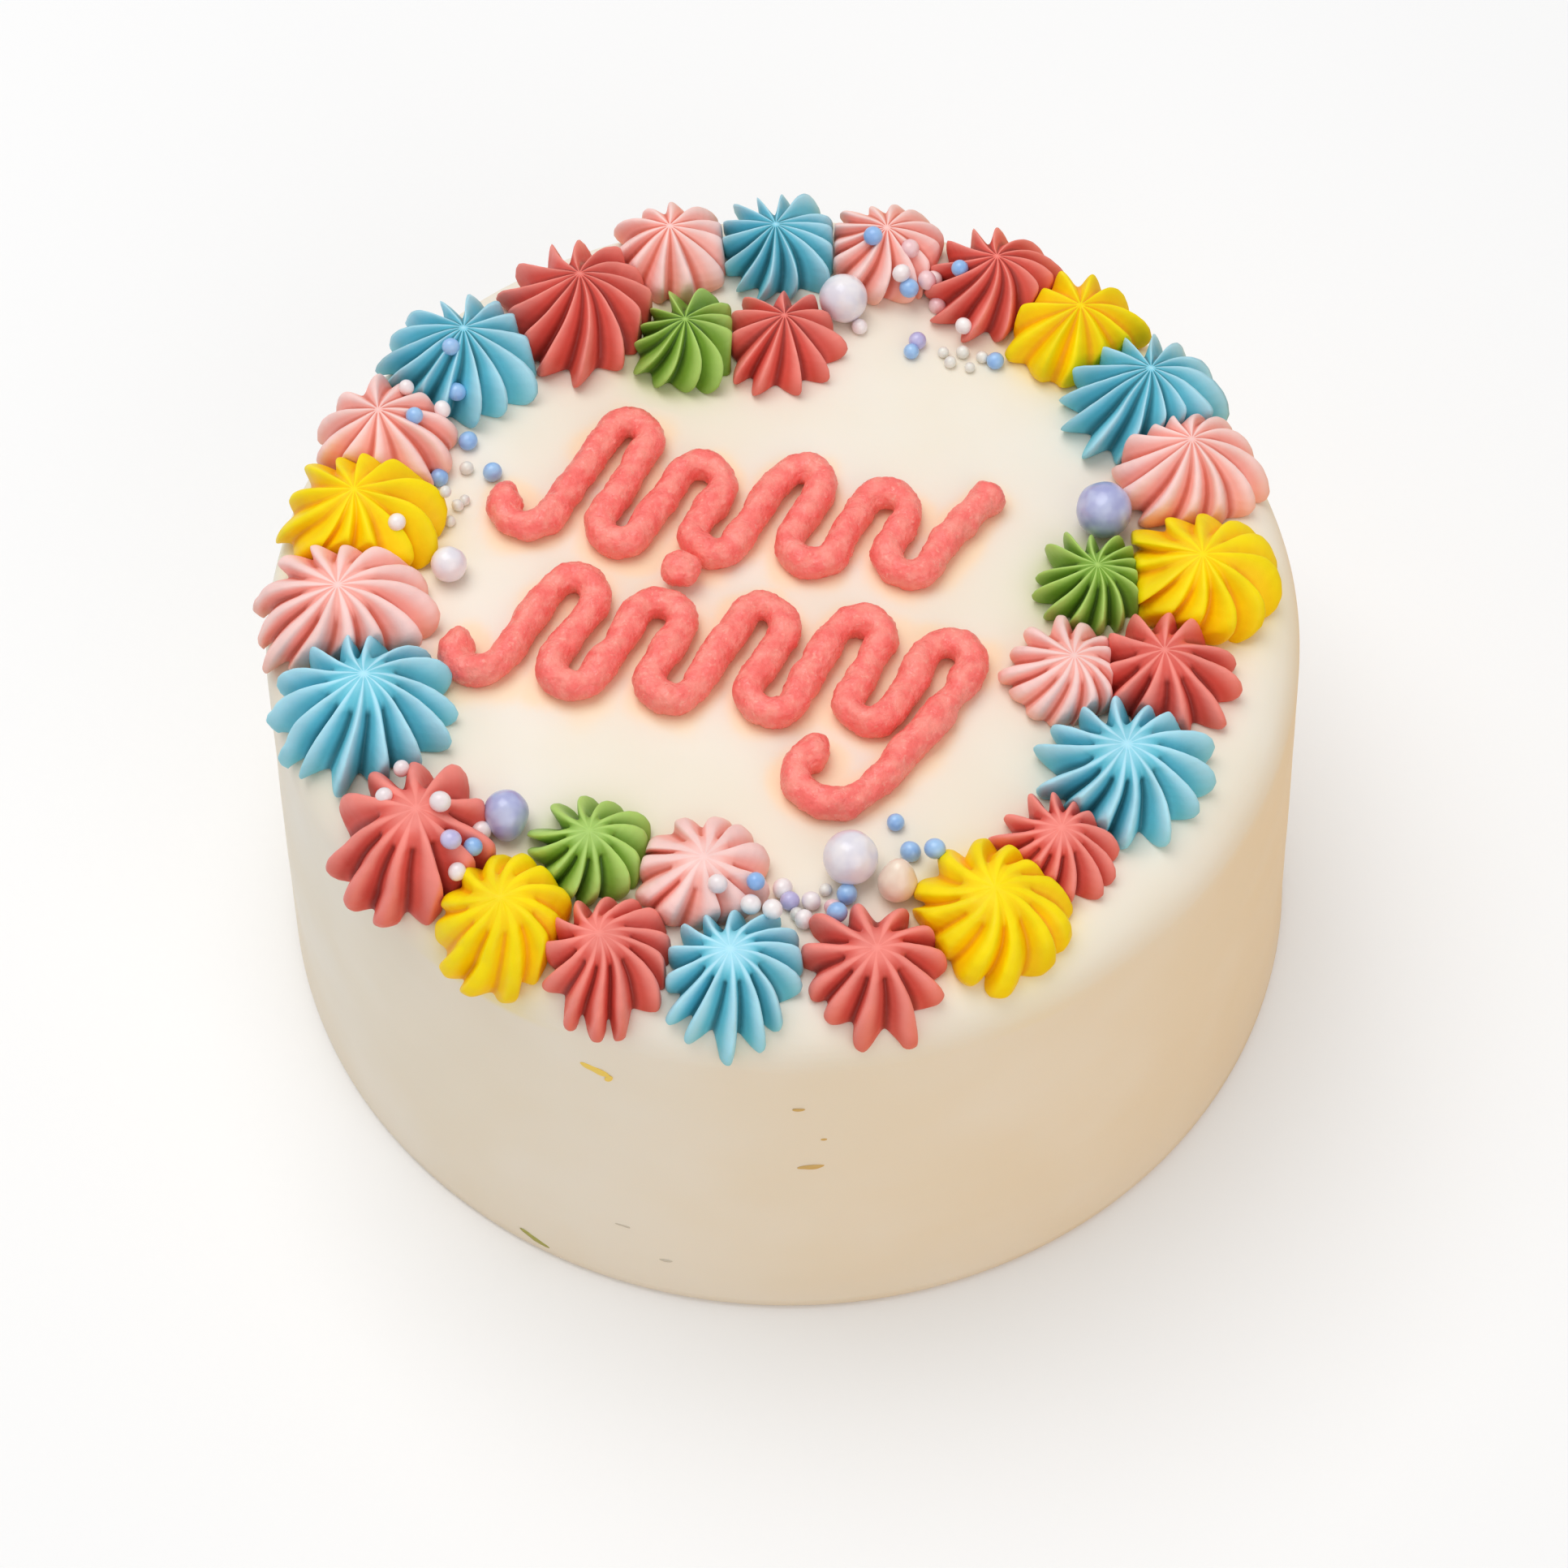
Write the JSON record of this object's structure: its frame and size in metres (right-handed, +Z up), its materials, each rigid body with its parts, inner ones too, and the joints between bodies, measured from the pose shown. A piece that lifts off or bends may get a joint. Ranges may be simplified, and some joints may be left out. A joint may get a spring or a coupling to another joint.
{
  "type": "birthday cake",
  "caption": "Round iced birthday cake with a piped rosette ring, sugar pearls and a piped coral flourish on a smooth cream top.",
  "frame": {"origin": "middle of the flat base that the cake stands on", "axes": "+Z up; -Y is the front, the side the flourish is read from; +X to the viewer's right"},
  "size_m": [0.164, 0.164, 0.0868],
  "materials": {
    "cream_icing": "matte to satin whipped cream icing, smoothed with a scraper",
    "pink_icing": "satin piped buttercream, pale pink",
    "rose_icing": "satin piped buttercream, deep rose",
    "blue_icing": "satin piped buttercream, sky blue",
    "yellow_icing": "satin piped buttercream, bright yellow",
    "green_icing": "satin piped buttercream, leaf green",
    "coral_icing": "piped icing with a grainy, slightly wet surface, coral",
    "pearl_white": "polished sugar pearl with a soft nacre sheen",
    "pearl_lavender": "polished sugar pearl, lavender",
    "pearl_peach": "polished sugar pearl, pale peach"
  },
  "bodies": {
    "root": {"cake_body": "cream_icing", "rosette_01": "pink_icing", "rosette_02": "blue_icing", "rosette_03": "pink_icing", "rosette_04": "rose_icing", "rosette_05": "yellow_icing", "rosette_06": "blue_icing", "rosette_07": "pink_icing", "rosette_08": "yellow_icing", "rosette_09": "rose_icing", "rosette_10": "blue_icing", "rosette_11": "rose_icing", "rosette_12": "yellow_icing", "rosette_13": "rose_icing", "rosette_14": "blue_icing", "rosette_15": "rose_icing", "rosette_16": "yellow_icing", "rosette_17": "rose_icing", "rosette_18": "blue_icing", "rosette_19": "pink_icing", "rosette_20": "yellow_icing", "rosette_21": "pink_icing", "rosette_22": "blue_icing", "rosette_23": "rose_icing", "rosette_24": "green_icing", "rosette_25": "rose_icing", "rosette_26": "green_icing", "rosette_27": "pink_icing", "rosette_28": "green_icing", "rosette_29": "pink_icing", "pearl_01": "pearl_white", "pearl_02": "pearl_lavender", "pearl_03": "pearl_lavender", "pearl_04": "pearl_white", "pearl_05": "pearl_white", "pearl_06": "pearl_peach", "flourish_upper": "coral_icing", "flourish_lower": "coral_icing", "flourish_dot": "coral_icing"}
  },
  "joints": []
}
